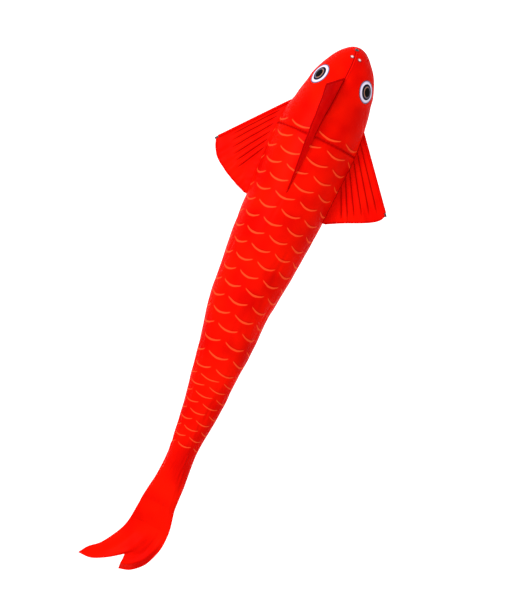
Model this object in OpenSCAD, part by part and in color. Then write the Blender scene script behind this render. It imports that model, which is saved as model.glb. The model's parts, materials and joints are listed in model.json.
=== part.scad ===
// Carp streamer: a wind-filled cloth tube with a closed snout, a rod-stiffened fin on each
// side, a leaning back fin and a flat forked tail. Millimetres, +X from nose to tail, +Y to
// the fish's right, +Z up. The origin is the middle of the tow eyelet on the nose.

/* [Body tube] */
// Length of the rounded head, from nose tip to the widest place
head_l = 290; // [240:10:340]
// Radius of the tube at its widest place
head_r = 112; // [100:1:125]
// Radius of the narrow wrist ahead of the tail
wrist_r = 35; // [30:1:42]
// Distance from nose tip to the wrist, measured along the tube
wrist_x = 1160; // [1100:10:1220]
// Fullness of the taper where it starts
taper_start = 1.8; // [1.5:0.1:2.2]
// Fullness of the taper where it ends
taper_end = 1.26; // [1:0.02:1.6]
// Thickness of the skin, seams and air film together
skin_t = 2; // [1.5:0.1:3]

/* [Head] */
// Place of the gill seam and its hoop
gill_x = 267; // [250:1:280]
// Half width of the seam strip along the top of the head
seam_half = 6; // [5.5:0.5:9]
// Slope of the mouth's plane below the level
mouth_slope = 40; // [35:1:45]
// Half width of the chin panel, in degrees about the tube
chin_half = 30; // [25:1:35]
// Place of the eyes along the tube
eye_x = 105; // [90:1:115]
// Half the angle between the eyes, in degrees about the tube
eye_around = 50; // [46:1:60]
// How far the eyes are turned to the right of the tube's top, in degrees
eye_turn = 4; // [0:1:12]
// Diameter of an eye patch
eye_d = 55; // [45:1:60]
// Place of the nostrils along the tube
nostril_x = 34; // [28:1:38]
// Half the distance between the nostrils
nostril_y = 11; // [8:0.5:14]
// Diameter of a nostril patch
nostril_d = 9.4; // [6:0.2:11]
// How far the nostrils are turned to the right of the tube's top, in degrees
nostril_turn = 9; // [0:1:12]

/* [Hoops and eyelet] */
// Radius of the hoop rod
hoop_rod_r = 1.5; // [1.2:0.1:1.8]
// Radius of the sewn hoop casings
casing_r = 4; // [3.5:0.1:4.5]
// Place of the tow eyelet along the tube
eyelet_x = 11.5; // [10:0.5:16]
// Hole radius of the tow eyelet
eyelet_hole_r = 2.5; // [2:0.1:2.8]
// Flange radius of the tow eyelet
eyelet_flange_r = 5.3; // [4.8:0.1:6.5]

/* [Side fins] */
// Where the leading edge meets the root seam
fin_front_x = 212; // [205:1:220]
// Where the trailing edge meets the root seam
fin_back_x = 470; // [440:1:475]
// Place of the fin tip along the tube
fin_tip_x = 368; // [350:1:380]
// Distance of the fin tip from the middle of the tube
fin_tip_y = 248; // [230:1:260]
// Droop of the fins at rest, in degrees
fin_droop = 10; // [0:1:20]
// Radius of the fin rod
fin_rod_r = 2; // [1.5:0.1:2.2]

/* [Back fin] */
// Front end of the back fin's seam
dorsal_front_x = 94; // [85:1:100]
// Rear end of the back fin's seam
dorsal_back_x = 430; // [400:1:440]
// Place of the free front corner along the tube
dorsal_peak_x = 134; // [120:1:145]
// Height of the free front corner above the seam
dorsal_h = 85; // [70:1:95]
// Lean of the back fin to the left at rest, in degrees
dorsal_lean = 16; // [0:1:25]

/* [Bends and tail] */
// Place of the first bend of the tube
bend_1_x = 490; // [485:1:510]
// Place of the second bend of the tube
bend_2_x = 720; // [700:5:760]
// Place of the third bend, at the wrist
bend_3_x = 1165; // [1160:1:1170]
// Set of the rear tube to the right at rest, in degrees
rear_set = 3.8; // [0:0.1:6]
// Length of the tail sleeve behind the third bend
sleeve_l = 200; // [180:1:220]
// Width of the flattened end of the tail sleeve
sleeve_w = 111; // [105:1:115]
// Thickness of the tail sleeve's flat end
sleeve_t = 8; // [7:0.5:12]

/* [Hidden] */

fine = 96;                      // facets of round previews
far = 400;                      // reach of cutting blocks
eps = 0.01;

red = [0.93, 0.06, 0.02];
deep_red = [0.72, 0.02, 0.04];
bright_red = [1, 0.25, 0.12];

// The tube's profile
function head_at(x) = head_r * sqrt(1 - pow((head_l - x) / head_l, 2));
function taper_at(x) =
    let (v = min(1, (x - head_l) / (wrist_x - head_l)))
    wrist_r + (head_r - wrist_r) * pow(1 - pow(v, taper_start), taper_end);
function tube_at(x) = x < head_l ? head_at(x) : taper_at(x);

// Points [radius, x] along the tube between two places, grown outward by g
function run(x0, x1, n, g = 0) =
    [for (i = [0:n]) let (x = x0 + (x1 - x0) * i / n) [tube_at(x) + g, x]];
// Points [radius, x] over the dome of the nose, grown outward by g
function dome(x_end, n, g = 0) =
    let (a_end = acos((head_l - x_end) / (head_l + g)))
    [for (i = [0:n]) let (a = a_end * i / n)
        [(head_r + g) * sin(a), head_l - (head_l + g) * cos(a)]];
function reversed(p) = [for (i = [len(p) - 1:-1:0]) p[i]];
function bezier(a, b, c, n) =
    [for (i = [0:n]) let (t = i / n) a * pow(1 - t, 2) + b * 2 * t * (1 - t) + c * t * t];

// Middle of the tow eyelet on the dome, which is the model's origin
eyelet_z = head_at(eyelet_x);
eyelet_tilt = atan2(eyelet_z / pow(head_r, 2), (head_l - eyelet_x) / pow(head_l, 2));
eyelet_gap = 4;                 // between the flanges, around the skin
eyelet_flange_t = 0.9;
eyelet_barrel_r = eyelet_hole_r + 0.7;

// The mouth: the dome is cut by a plane through the nose tip
mouth_dir = [cos(mouth_slope), -sin(mouth_slope)];
mouth_chord = 2 * head_l * mouth_dir[0]
    / (pow(mouth_dir[0], 2) + pow(head_l * mouth_dir[1] / head_r, 2));
mouth_mid = mouth_dir * mouth_chord / 2;
mouth_half_w = head_r
    * sqrt(1 - pow((head_l - mouth_mid[0]) / head_l, 2) - pow(mouth_mid[1] / head_r, 2));
mouth_back_off = casing_r + 0.3;

ferrule_r = 2.1;                // outside of the hoop ferrules
casing_bore_r = 2.3;            // channel for the hoop in a casing
mouth_ferrule_deg = 20;         // reach of the ferrules round their hoops
gill_ferrule_deg = 16;
gill_ring_r = head_at(gill_x) - skin_t - casing_r - 0.3;

dome_steps = 30;                // points along the dome's curve
patch_t = 1.2;                  // eye and nostril patches stand this proud
patch_gap = 0.05;               // and lie this far off the skin

// Side fins: the hinge is the root seam, just outside the widest tube
fin_hinge_y = head_r + 2;
fin_root_y = fin_hinge_y + 0.6;
fin_sheet_t = 2;
fin_sleeve_r = 3.4;
fin_cap_r = 3.2;
fin_run = [fin_tip_x - fin_front_x, fin_tip_y - fin_root_y];
fin_l = norm(fin_run);
fin_sweep = atan2(fin_run[1], fin_run[0]);
fin_trail = [fin_tip_x + 52, fin_tip_y - 10];   // fullness of the trailing edge
fin_tip_stop = 6;               // the sleeve ends this far short of the tip
fin_root_stop = 12;             // and starts this far out from the root seam
fin_rod_out = 2;                // the rod reaches this far past the tip
fin_rod_in = 4;                 // and starts this far out from the root seam
fin_cap_end = 1.5;              // closed end of a cap
fin_play = 0.3;                 // around the rod and the caps in the sleeve

// Back fin: it folds about a level line just above the tube
dorsal_hinge_z = head_r + 2.5;
dorsal_t = 2;
dorsal_lift = 1.3;              // clearance of its lower edge above the tube
dorsal_lap = 0.4;               // its two halves share this much at the fold line

// Bends of the tube: the next stretch starts inside the last as a short barrel
turn_1 = 12;                    // most turn at each bend, in degrees
turn_2 = 18;
turn_3 = 38;
turn_spare = 5;                 // each barrel reaches this much further
bend_gap = 0.5;                 // between a barrel and the rim around it
bend_step = 0.5;                // where a barrel steps out to the tube's own line

tail_place = [
    bend_2_x + (bend_3_x - bend_2_x) * cos(rear_set),
    (bend_3_x - bend_2_x) * sin(rear_set), 0
];
tail_gap = 3;                   // between the sleeve's end and the tail fin
tail_fin_t = 3;
// The fork, measured from the third bend: two tips, the notch and the edges' fullness
tail_tip_right = [337, -26];
tail_tip_left = [340, -137];
tail_notch = [292, -25];
tail_full_right = [300, 70];
tail_full_left = [275, -75];

// Turns a profile of [radius, x] points about the tube's axis
module revolve(points, angle = 360) {
    rotate([0, 90, 0]) rotate_extrude(angle = angle, $fn = fine) polygon(points);
}

module behind_mouth(off) {
    rotate([0, mouth_slope, 0]) translate([-far, -far, off]) cube(2 * far);
}

// A wedge of the tube about its underside, from the nose aft
module underside(half, length) {
    rotate([0, 90, 0]) linear_extrude(length)
        polygon([[0, 0], for (a = [-half:half / 4:half]) far * [cos(a), sin(a)]]);
}

// The patch of surface that faces out at [x, around], as a tool along its normal
module facing(x, around, r) {
    tilt = atan2(head_at(x) / pow(head_r, 2), (head_l - x) / pow(head_l, 2));
    rotate([-around, 0, 0]) translate([x, 0, head_at(x)]) rotate([0, tilt - 90, 0])
        translate([0, 0, -20]) cylinder(r = r, h = 40, $fn = fine);
}

module eyelet_place() {
    translate([eyelet_x, 0, eyelet_z]) rotate([0, eyelet_tilt - 90, 0]) children();
}

module dome_shell() {
    intersection() {
        revolve(concat(dome(gill_x, dome_steps), reversed(dome(gill_x, dome_steps, -skin_t))));
        behind_mouth(mouth_back_off);
    }
}

module head_panel(side) {
    color(red) difference() {
        intersection() {
            dome_shell();
            translate([-eps, side > 0 ? 0 : -far, -far]) cube([far, far, 2 * far]);
        }
        underside(chin_half, far);
        along_top();
    }
}

// The block that holds the seam strip along the top of the head
module along_top() {
    translate([-eps, -seam_half, 0]) cube([far, 2 * seam_half, far]);
}

module seam_strip() {
    color(deep_red) difference() {
        intersection() {
            dome_shell();
            along_top();
        }
        eyelet_place() cylinder(r = eyelet_barrel_r + 0.1, h = far / 8, center = true, $fn = fine);
    }
}

module chin_panel() {
    color(red) intersection() {
        dome_shell();
        underside(chin_half, far);
    }
}

module front_tube() {
    color(red) revolve(concat(
        run(gill_x, bend_1_x, 16), reversed(run(gill_x, bend_1_x, 16, -skin_t))));
}

// The mouth's plane, stretched so that a circle of its half width becomes its oval
module mouth_place() {
    translate([mouth_mid[0], 0, mouth_mid[1]]) rotate([0, mouth_slope, 0])
        scale([mouth_chord / 2 / mouth_half_w, 1, 1]) children();
}

// A ring of tube or rod round the mouth
module mouth_ring(r) {
    mouth_place() rotate_extrude($fn = fine)
        translate([mouth_half_w - casing_r, 0]) circle(r, $fn = 32);
}

module mouth_casing() {
    color(deep_red) difference() {
        mouth_ring(casing_r);
        mouth_ring(casing_bore_r);
    }
}

module mouth_hoop() {
    color("ivory") mouth_ring(hoop_rod_r);
}

module mouth_ferrule() {
    color("silver") mouth_place() rotate([0, 0, -mouth_ferrule_deg / 2])
        ring_sleeve(mouth_half_w - casing_r, mouth_ferrule_deg);
}

// A short bent tube over the joint where a hoop's two ends meet
module ring_sleeve(ring_r, angle) {
    rotate_extrude(angle = angle, $fn = fine) translate([ring_r, 0]) difference() {
        circle(ferrule_r, $fn = 32);
        circle(hoop_rod_r, $fn = 32);
    }
}

module tow_eyelet() {
    half = eyelet_gap / 2;
    color([0.05, 0.05, 0.06]) eyelet_place() translate([0, 0, -skin_t / 2])
        rotate_extrude($fn = fine) polygon([
            [eyelet_hole_r, -half - eyelet_flange_t], [eyelet_flange_r, -half - eyelet_flange_t],
            [eyelet_flange_r, -half], [eyelet_barrel_r, -half],
            [eyelet_barrel_r, half], [eyelet_flange_r, half],
            [eyelet_flange_r, half + eyelet_flange_t], [eyelet_hole_r, half + eyelet_flange_t]
        ]);
}

// A round cloth patch that follows the dome
module patch(x, around, r) {
    intersection() {
        revolve(concat(
            dome(gill_x, dome_steps, patch_t), reversed(dome(gill_x, dome_steps, patch_gap))));
        facing(x, around, r);
    }
}

module eye(side) {
    color("lavender") patch(eye_x, eye_turn + side * eye_around, eye_d / 2);
}

module nostril(side) {
    around = asin(nostril_y / head_at(nostril_x));
    color("mistyrose") patch(nostril_x, nostril_turn + side * around, nostril_d / 2);
}

module gill_place() {
    translate([gill_x, 0, 0]) rotate([0, 90, 0]) children();
}

module gill_casing() {
    color(deep_red) gill_place() rotate_extrude($fn = fine) translate([gill_ring_r, 0])
        difference() {
            circle(casing_r, $fn = 32);
            circle(casing_bore_r, $fn = 32);
        }
}

module gill_hoop() {
    color("ivory") gill_place()
        rotate_extrude($fn = fine) translate([gill_ring_r, 0]) circle(hoop_rod_r, $fn = 32);
}

module gill_ferrule() {
    color("silver") gill_place() rotate([0, 0, -gill_ferrule_deg / 2])
        ring_sleeve(gill_ring_r, gill_ferrule_deg);
}

// The fish's right fin lies on +Y; the left one is its mirror image
module fin_place(side) {
    mirror([0, side > 0 ? 0 : 1, 0]) translate([0, fin_hinge_y, 0]) rotate([-fin_droop, 0, 0])
        translate([0, -fin_hinge_y, 0]) children();
}

// Along the leading edge, from the root seam to the tip
module fin_edge_place() {
    translate([fin_front_x, fin_root_y, 0]) rotate([0, 0, fin_sweep]) rotate([0, 90, 0]) children();
}

module fin_bar(r, q0, q1) {
    fin_edge_place() translate([0, 0, q0]) cylinder(r = r, h = q1 - q0, $fn = 48);
}

module fin_sheet(side) {
    trail = bezier([fin_tip_x, fin_tip_y], fin_trail, [fin_back_x, fin_root_y], 14);
    color(red) fin_place(side) difference() {
        union() {
            translate([0, 0, -fin_sheet_t / 2]) linear_extrude(fin_sheet_t)
                polygon(concat([[fin_front_x, fin_root_y]], trail));
            fin_bar(fin_sleeve_r, fin_root_stop, fin_l - fin_tip_stop);
        }
        fin_bar(fin_rod_r + fin_play, 0, fin_l);
        fin_bar(fin_sleeve_r + fin_play, -fin_root_stop, fin_root_stop);
        fin_bar(fin_sleeve_r + fin_play, fin_l - fin_tip_stop, fin_l + fin_root_stop);
    }
}

module fin_rod(side) {
    color("ivory") fin_place(side) fin_bar(fin_rod_r, fin_rod_in, fin_l + fin_rod_out);
}

module fin_root_cap(side) {
    color([0.1, 0.1, 0.11]) fin_place(side) difference() {
        fin_bar(fin_cap_r, fin_rod_in - fin_cap_end, fin_root_stop - fin_play);
        fin_bar(fin_rod_r, fin_rod_in, fin_root_stop);
    }
}

module fin_tip_cap(side) {
    color([0.1, 0.1, 0.11]) fin_place(side) difference() {
        fin_bar(fin_cap_r, fin_l - fin_tip_stop + fin_play, fin_l + fin_rod_out + fin_cap_end);
        fin_bar(fin_rod_r, fin_l - fin_tip_stop, fin_l + fin_rod_out);
    }
}

// Outline of the back fin beside its fold line, as [x, z]
function dorsal_outline() = concat(
    [[dorsal_peak_x, tube_at(dorsal_peak_x) + dorsal_h]],
    [for (i = [0:20])
        let (x = dorsal_back_x + (dorsal_front_x - dorsal_back_x) * i / 20)
        [x, tube_at(x) + dorsal_lift]]
);

module dorsal_half(above) {
    intersection() {
        rotate([90, 0, 0]) linear_extrude(dorsal_t, center = true) polygon(dorsal_outline());
        translate([0, -far / 2, dorsal_hinge_z - (above ? dorsal_lap : far)])
            cube([2 * far, far, far + dorsal_lap]);
    }
}

module dorsal_fin() {
    color(deep_red) union() {
        translate([0, 0, dorsal_hinge_z]) rotate([dorsal_lean, 0, 0])
            translate([0, 0, -dorsal_hinge_z]) dorsal_half(true);
        dorsal_half(false);
    }
}

// A stretch of tube from a bend to its end. It starts as a barrel about the bend, small
// enough to turn inside the stretch before it, and steps out to the tube's own line.
module turning_tube(x0, x1, turn, n) {
    barrel = tube_at(x0) - skin_t - bend_gap;
    lap = barrel * sin(turn + turn_spare);
    outer = concat(
        [for (i = [-6:6]) let (a = (turn + turn_spare) * i / 6)
            [barrel * cos(a), barrel * sin(a)]],
        [for (p = run(x0 + lap + bend_step, x1, n)) [p[0], p[1] - x0]]);
    inner = [for (p = outer) [p[0] - skin_t, p[1]]];
    revolve(concat(outer, reversed(inner)));
}

module mid_tube() {
    color(red) translate([bend_1_x, 0, 0]) turning_tube(bend_1_x, bend_2_x, turn_1, 12);
}

module rear_place() {
    translate([bend_2_x, 0, 0]) rotate([0, 0, rear_set]) children();
}

module rear_tube() {
    color(red) rear_place() turning_tube(bend_2_x, bend_3_x, turn_2, 20);
}

// The sleeve's body between its round and its flat end, shrunk by g
module sleeve_form(start, g) {
    hull() {
        translate([start, 0, 0]) rotate([0, 90, 0]) cylinder(r = wrist_r - g, h = 1, $fn = 32);
        for (side = [-1, 1])
            translate([sleeve_l - 1 - g, side * (sleeve_w / 2 - sleeve_t / 2), 0])
                rotate([0, 90, 0]) cylinder(r = sleeve_t / 2 - g, h = 1, $fn = 32);
    }
}

module tail_sleeve() {
    barrel = tube_at(bend_3_x) - skin_t - bend_gap;
    lap = barrel * sin(turn_3 + turn_spare);
    arc = [for (i = [-6:6]) let (a = (turn_3 + turn_spare) * i / 6) barrel * [cos(a), sin(a)]];
    neck_end = lap + bend_step + skin_t;
    ring = concat(arc, [[wrist_r, lap + bend_step], [wrist_r, neck_end]]);
    bore = [for (p = ring) [p[0] - skin_t, p[1]]];
    color(red) translate(tail_place) difference() {
        union() {
            revolve(concat(ring, [[0, neck_end], [0, -lap]]));
            sleeve_form(neck_end - bend_step, 0);
        }
        revolve(concat(bore, [[0, neck_end], [0, -lap - eps]]));
        sleeve_form(neck_end - bend_step, skin_t);
    }
}

// Top view of the forked tail, swept to the left by the breeze
module tail_fin() {
    root = sleeve_l + tail_gap;
    right_edge = bezier([root, sleeve_w / 2], tail_full_right, tail_tip_right, 12);
    left_edge = bezier(tail_tip_left, tail_full_left, [root, -sleeve_w / 2], 12);
    color(red) translate(tail_place) translate([0, 0, -tail_fin_t / 2])
        linear_extrude(tail_fin_t) polygon(concat(right_edge, [tail_notch], left_edge));
}

module placed() {
    translate([-eyelet_x, 0, -eyelet_z]) children();
}

placed() head_panel(-1);  // head_panel_left
placed() head_panel(1);  // head_panel_right
placed() chin_panel();
placed() seam_strip();
placed() front_tube();
placed() mouth_casing();
placed() mouth_hoop();
placed() mouth_ferrule();
placed() tow_eyelet();
placed() eye(-1);  // eye_left
placed() eye(1);  // eye_right
placed() nostril(-1);  // nostril_left
placed() nostril(1);  // nostril_right
placed() gill_casing();
placed() gill_hoop();
placed() gill_ferrule();
placed() fin_sheet(-1);  // fin_left
placed() fin_rod(-1);  // fin_rod_left
placed() fin_tip_cap(-1);  // fin_tip_cap_left
placed() fin_root_cap(-1);  // fin_root_cap_left
placed() fin_sheet(1);  // fin_right
placed() fin_rod(1);  // fin_rod_right
placed() fin_tip_cap(1);  // fin_tip_cap_right
placed() fin_root_cap(1);  // fin_root_cap_right
placed() dorsal_fin();
placed() mid_tube();
placed() rear_tube();
placed() tail_sleeve();
placed() tail_fin();
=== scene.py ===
import json
import math

import bpy
import numpy as np
from mathutils import Matrix, Vector


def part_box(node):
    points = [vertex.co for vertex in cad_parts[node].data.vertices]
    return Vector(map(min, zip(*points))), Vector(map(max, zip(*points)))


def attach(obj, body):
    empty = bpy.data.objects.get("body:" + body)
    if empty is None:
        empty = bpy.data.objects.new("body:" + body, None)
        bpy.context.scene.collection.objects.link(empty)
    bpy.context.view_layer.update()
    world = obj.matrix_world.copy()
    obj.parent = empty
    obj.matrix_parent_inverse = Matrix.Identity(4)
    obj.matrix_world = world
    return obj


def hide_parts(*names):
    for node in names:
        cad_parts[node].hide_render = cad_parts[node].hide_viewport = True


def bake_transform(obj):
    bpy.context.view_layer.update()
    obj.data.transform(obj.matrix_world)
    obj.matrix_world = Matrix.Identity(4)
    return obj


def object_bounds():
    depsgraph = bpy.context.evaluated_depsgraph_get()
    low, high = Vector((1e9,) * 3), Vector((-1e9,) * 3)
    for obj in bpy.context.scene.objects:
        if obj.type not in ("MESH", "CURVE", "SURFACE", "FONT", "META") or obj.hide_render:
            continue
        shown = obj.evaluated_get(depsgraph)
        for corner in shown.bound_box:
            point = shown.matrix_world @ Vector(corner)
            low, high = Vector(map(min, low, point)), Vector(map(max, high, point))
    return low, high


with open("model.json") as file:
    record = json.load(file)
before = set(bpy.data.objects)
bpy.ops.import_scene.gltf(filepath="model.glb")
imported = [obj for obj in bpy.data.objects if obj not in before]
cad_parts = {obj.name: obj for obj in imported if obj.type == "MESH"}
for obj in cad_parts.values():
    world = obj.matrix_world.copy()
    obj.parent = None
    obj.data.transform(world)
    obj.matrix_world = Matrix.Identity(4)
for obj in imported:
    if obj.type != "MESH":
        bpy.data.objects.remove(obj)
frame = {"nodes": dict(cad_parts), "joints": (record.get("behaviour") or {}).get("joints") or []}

START_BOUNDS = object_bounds()

# ---- Places and sizes ----
# In metres. Shapes are worked out from the nose tip on the tube's axis
# and moved by HOME into the row frame when a mesh is made.
GILL = 0.267                       # nose tip to the gill seam
FRONT_LOW, FRONT_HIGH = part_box("front_tube")
HOME = np.array([FRONT_LOW.x - GILL, 0, (FRONT_LOW.z + FRONT_HIGH.z) / 2])
JOINT = {j["name"]: np.array(j["pos_m"]) - HOME for j in frame["joints"]}

HEAD_L = 0.290
HEAD_R = (FRONT_HIGH.z - FRONT_LOW.z) / 2
WRIST, WRIST_R = 1.160, 0.035
BEND_1, BEND_2 = JOINT["body_sway"][0], JOINT["rear_sway"][0]
BEND_3, TAIL_Y = JOINT["tail_sway"][:2]
TAIL_FOLD = JOINT["tail_flap"][0]
FLAT = 1.367                       # where the tube is quite flat
FLAT_W = 0.0555                    # its half width there
TAIL = 1.300                       # the two-layer tail piece starts here
MOUTH = math.radians(40)           # the mouth's plane, down from the tube's axis
CHIN = math.radians(150)           # edge of the chin panel, from the top
CASING_R = 0.004                   # of the sewn casings round the hoops
FIN_Y = JOINT["right_fin_flap"][1]
FOLD_Z = JOINT["back_fin_fold"][2]
SHELL = 0.0005                     # cloth with its coating
ROOT_FRONT, ROOT_REAR = 0.214, 0.468   # ends of the side fins' roots
BACK_START, BACK_REAR = 0.087, 0.430   # ends of the back fin's seam
STRIP_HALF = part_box("seam_strip")[1].y

rng = np.random.default_rng(11)


def ease(x, a, b):
    """0 before a, 1 after b, smooth between."""
    t = np.clip((np.asarray(x, float) - a) / (b - a), 0, 1)
    return t * t * (3 - 2 * t)


def bump_at(x, middle, width):
    """1 at the middle, falling away on both sides."""
    return np.exp(-(((np.asarray(x, float) - middle) / width) ** 2))


def mix(a, b, t):
    return a + (b - a) * t


def soft_plus(x, soft):
    """0 well below 0 and x well above it, with a soft turn between."""
    return soft * np.log1p(np.exp(np.clip(x / soft, -60, 60)))


def spread(*values):
    """The values as arrays of one shape."""
    return np.broadcast_arrays(*(np.asarray(v, float) for v in values))


def pair(x, y):
    return np.stack(np.broadcast_arrays(x, y), -1)


def halve(low, high, steps, short):
    """Closes in on the place between low and high up to which short holds."""
    for _ in range(steps):
        m = (low + high) / 2
        more = short(m)
        low, high = np.where(more, m, low), np.where(more, high, m)
    return low, high


def ring(count):
    """Angles of places round a closed ring."""
    return np.linspace(0, 2 * math.pi, count, endpoint=False)


def unit(v):
    return v / np.linalg.norm(v, axis=-1, keepdims=True)


def radius(s):
    """Radius of the round tube: an ellipse for the head, then the taper to the wrist."""
    s = np.asarray(s, float)
    head = HEAD_R * np.sqrt(np.clip(1 - ((HEAD_L - s) / HEAD_L) ** 2, 0, 1))
    v = np.clip((s - HEAD_L) / (WRIST - HEAD_L), 0, 1)
    taper = WRIST_R + (HEAD_R - WRIST_R) * (1 - v ** 1.8) ** 1.26
    return np.where(s < HEAD_L, head, taper)


def half_width(s):
    """Half width of the tube: slimmer at the snout and the cheeks, wider where it goes flat."""
    s = np.asarray(s, float)
    snout = 0.06 * bump_at(s, 0, 0.030)
    cheek = 0.027 * ease(s, 0.105, 0.13) * (1 - ease(s, 0.18, 0.21))
    u = np.clip((s - WRIST) / (FLAT - WRIST), 0, 1)
    w = 0.12                                      # how softly the widening sets in
    grow = (u + w * (np.exp(-u / w) - 1)) / (1 + w * (math.exp(-1 / w) - 1))
    return radius(s) * (1 - snout - cheek) + (FLAT_W - WRIST_R) * grow


def half_height(s):
    """Half height: behind the head, that of an ellipse with the round tube's own girth."""
    a = half_width(s)
    girth = 2 * math.pi * radius(s)
    low, high = halve(np.zeros_like(a), a, 40, lambda b: math.pi * (
        3 * (a + b) - np.sqrt((3 * a + b) * (a + 3 * b))) < girth)
    return np.where(s < HEAD_L, radius(s), np.maximum((low + high) / 2, 0.0022))


def middle_y(s):
    """The tube runs straight, then makes one easy bend to the right and back."""
    t = (np.asarray(s, float) - BEND_2) / (BEND_3 - BEND_2)
    soft, late = 0.12, 0.05                       # how softly and how late the bend sets in
    t = np.log1p(np.exp(np.clip((t - late) / soft, -60, 60)))
    t = np.minimum(t / math.log1p(math.exp((1 - late) / soft)), 1)
    bend = TAIL_Y * (t + 0.5 * t * (1 - t) * ease(t, 0, 0.35))
    head = 0.0024 * ease(s, 0.02, 0.06) * (1 - ease(s, 0.18, 0.22))
    return head + bend + 0.0015 * ease(s, 0.72, 0.85) + 0.0022 * ease(s, 1.28, FLAT)


def seam_turn(s):
    """How far the top seam is turned to the right of the tube's top."""
    s = np.asarray(s, float)
    back = 1 - 0.55 * ease(s, 0.07, 0.26) - 0.45 * ease(s, 0.30, 0.43)
    return math.radians(5.2) * ease(s, 0.010, 0.034) * back


def wrap_angle(a):
    """The same angle, from -pi to pi."""
    return (a + math.pi) % (2 * math.pi) - math.pi


# ---- Folds and puckers of the tube's cloth, as heights over its smooth form ----
FOLDS = []


def fold(s0, a0, s1, a1, width, height):
    """A soft crease from one point (distance, degrees round) to another."""
    FOLDS.append((s0, math.radians(a0), s1, math.radians(a1), width, height))


for side in (-1, 1):
    for n in range(9):                            # tension from both ends of a fin's root
        turn = rng.uniform(-38, 38)
        reach = rng.uniform(0.05, 0.13)
        fold(ROOT_FRONT, side * 90, ROOT_FRONT - reach * 0.8, side * (90 + turn),
             rng.uniform(0.004, 0.009), rng.uniform(-0.0009, 0.0010))
        fold(ROOT_REAR, side * 90, ROOT_REAR + reach, side * (90 + turn * 0.8),
             rng.uniform(0.005, 0.010), rng.uniform(-0.0014, 0.0016))
for n in range(8):                                # and from both ends of the back fin's seam
    turn = rng.uniform(-32, 32)
    fold(BACK_REAR, 0, BACK_REAR + rng.uniform(0.05, 0.14), turn,
         rng.uniform(0.005, 0.010), rng.uniform(-0.0011, 0.0013))
    fold(BACK_START, 0, BACK_START + rng.uniform(0.02, 0.06), turn * 1.9,
         rng.uniform(0.004, 0.007), rng.uniform(-0.0006, 0.0006))
for n in range(34):                               # long soft folds down the taper
    s0 = rng.uniform(0.50, 1.02)
    a0 = rng.uniform(-180, 180)
    fold(s0, a0, s0 + rng.uniform(0.08, 0.24), a0 + rng.uniform(-22, 22),
         rng.uniform(0.007, 0.014), rng.uniform(-0.0020, 0.0018))
for n in range(20):                               # short cross folds inside the two bends
    s0 = rng.choice([BEND_2, BEND_3]) + rng.uniform(-0.05, 0.05)
    side = 1 if s0 < 1 else -1
    a0 = side * rng.uniform(50, 130)
    fold(s0, a0 - 24, s0 + rng.uniform(-0.03, 0.03), a0 + 24,
         rng.uniform(0.004, 0.007), rng.uniform(-0.0008, 0.0005))
for n in range(26):                               # where the round tube goes flat
    a0 = rng.uniform(-180, 180)
    s0 = rng.uniform(1.06, 1.20)
    fold(s0, a0, s0 + rng.uniform(0.09, 0.20), a0 + rng.uniform(-15, 15),
         rng.uniform(0.004, 0.009), rng.uniform(-0.0017, 0.0017))


def waves(count, along, around, seed):
    """Random waves that join up round the tube: numbers along and around, and a start."""
    g = np.random.default_rng(seed)
    return [(g.uniform(*along) * g.choice([-1, 1]), g.integers(*around), g.uniform(0, 6.28))
            for _ in range(count)]


BROAD = waves(14, (8, 34), (0, 6), 3)
FINE = waves(26, (40, 120), (3, 26), 4)
GATHER = [(int(m), float(p)) for m, p in
          zip(rng.integers(52, 104, 7), rng.uniform(0, 6.28, 7))]


def pucker(a):
    """Gathers round a hoop, from -1 to 1."""
    return sum(np.sin(m * a + p) for m, p in GATHER) / len(GATHER)


def relief(s, a):
    """Height of the cloth over its smooth form, at a distance along and an angle round."""
    s, a = spread(s, a)
    r = radius(s)
    h = np.zeros(s.shape)
    lively = 0.35 + 0.65 * ease(s, 0.35, 0.75)
    for k, m, p in BROAD:
        h += 0.00042 * lively * np.sin(k * s + m * a + p)
    for k, m, p in FINE:
        h += 0.00006 * lively * np.sin(k * s + m * a + p)
    for s0, a0, s1, a1, w, high in FOLDS:
        near = (s > min(s0, s1) - 4 * w) & (s < max(s0, s1) + 4 * w)
        if not near.any():
            continue
        ss, aa, rr = s[near], a[near], r[near]
        du, dv = ss - s0, wrap_angle(aa - a0) * rr
        lu, lv = s1 - s0, (a1 - a0) * rr
        t = np.clip((du * lu + dv * lv) / (lu * lu + lv * lv), 0, 1)
        d = np.hypot(du - t * lu, dv - t * lv)
        h[near] += high * bump_at(d, 0, w * (0.45 + 0.75 * t)) * (1 - t) ** 0.6
    h += 0.0011 * pucker(a) * bump_at(s, GILL, 0.010)
    h -= 0.0016 * bump_at(s, GILL, 0.0035)                       # the seam draws in
    root = ease(s, 0.205, 0.222) * (1 - ease(s, 0.458, 0.478))
    beside = (np.abs(np.abs(a) - math.pi / 2)) * r
    h -= 0.0010 * root * bump_at(beside, 0, 0.006)               # root seams
    comb = np.sin(190 * s + 1.3 * np.sin(47 * s)) + 0.5 * np.sin(431 * s + 2)
    h += 0.0003 * comb * root * bump_at(beside, 0, 0.012)
    top = np.abs(wrap_angle(a - seam_turn(s))) * r               # beside the back fin
    along = ease(s, 0.085, 0.10) * (1 - ease(s, 0.420, 0.440))
    h += 0.0006 * np.sin(160 * s + 2 * np.sin(31 * s)) * along * bump_at(top, 0, 0.014)
    belly = (math.pi - np.abs(a)) * r                            # belly seam and chin seams
    tail = ease(s, GILL - 0.01, GILL + 0.02)
    h += tail * (0.0004 * np.sin(210 * s) - 0.0009) * bump_at(belly, 0, 0.005)
    chin = np.abs(np.abs(a) - CHIN) * r
    h -= (1 - tail) * 0.0007 * bump_at(chin, 0, 0.004)
    return h * np.clip(s / 0.03, 0, 1)


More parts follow.
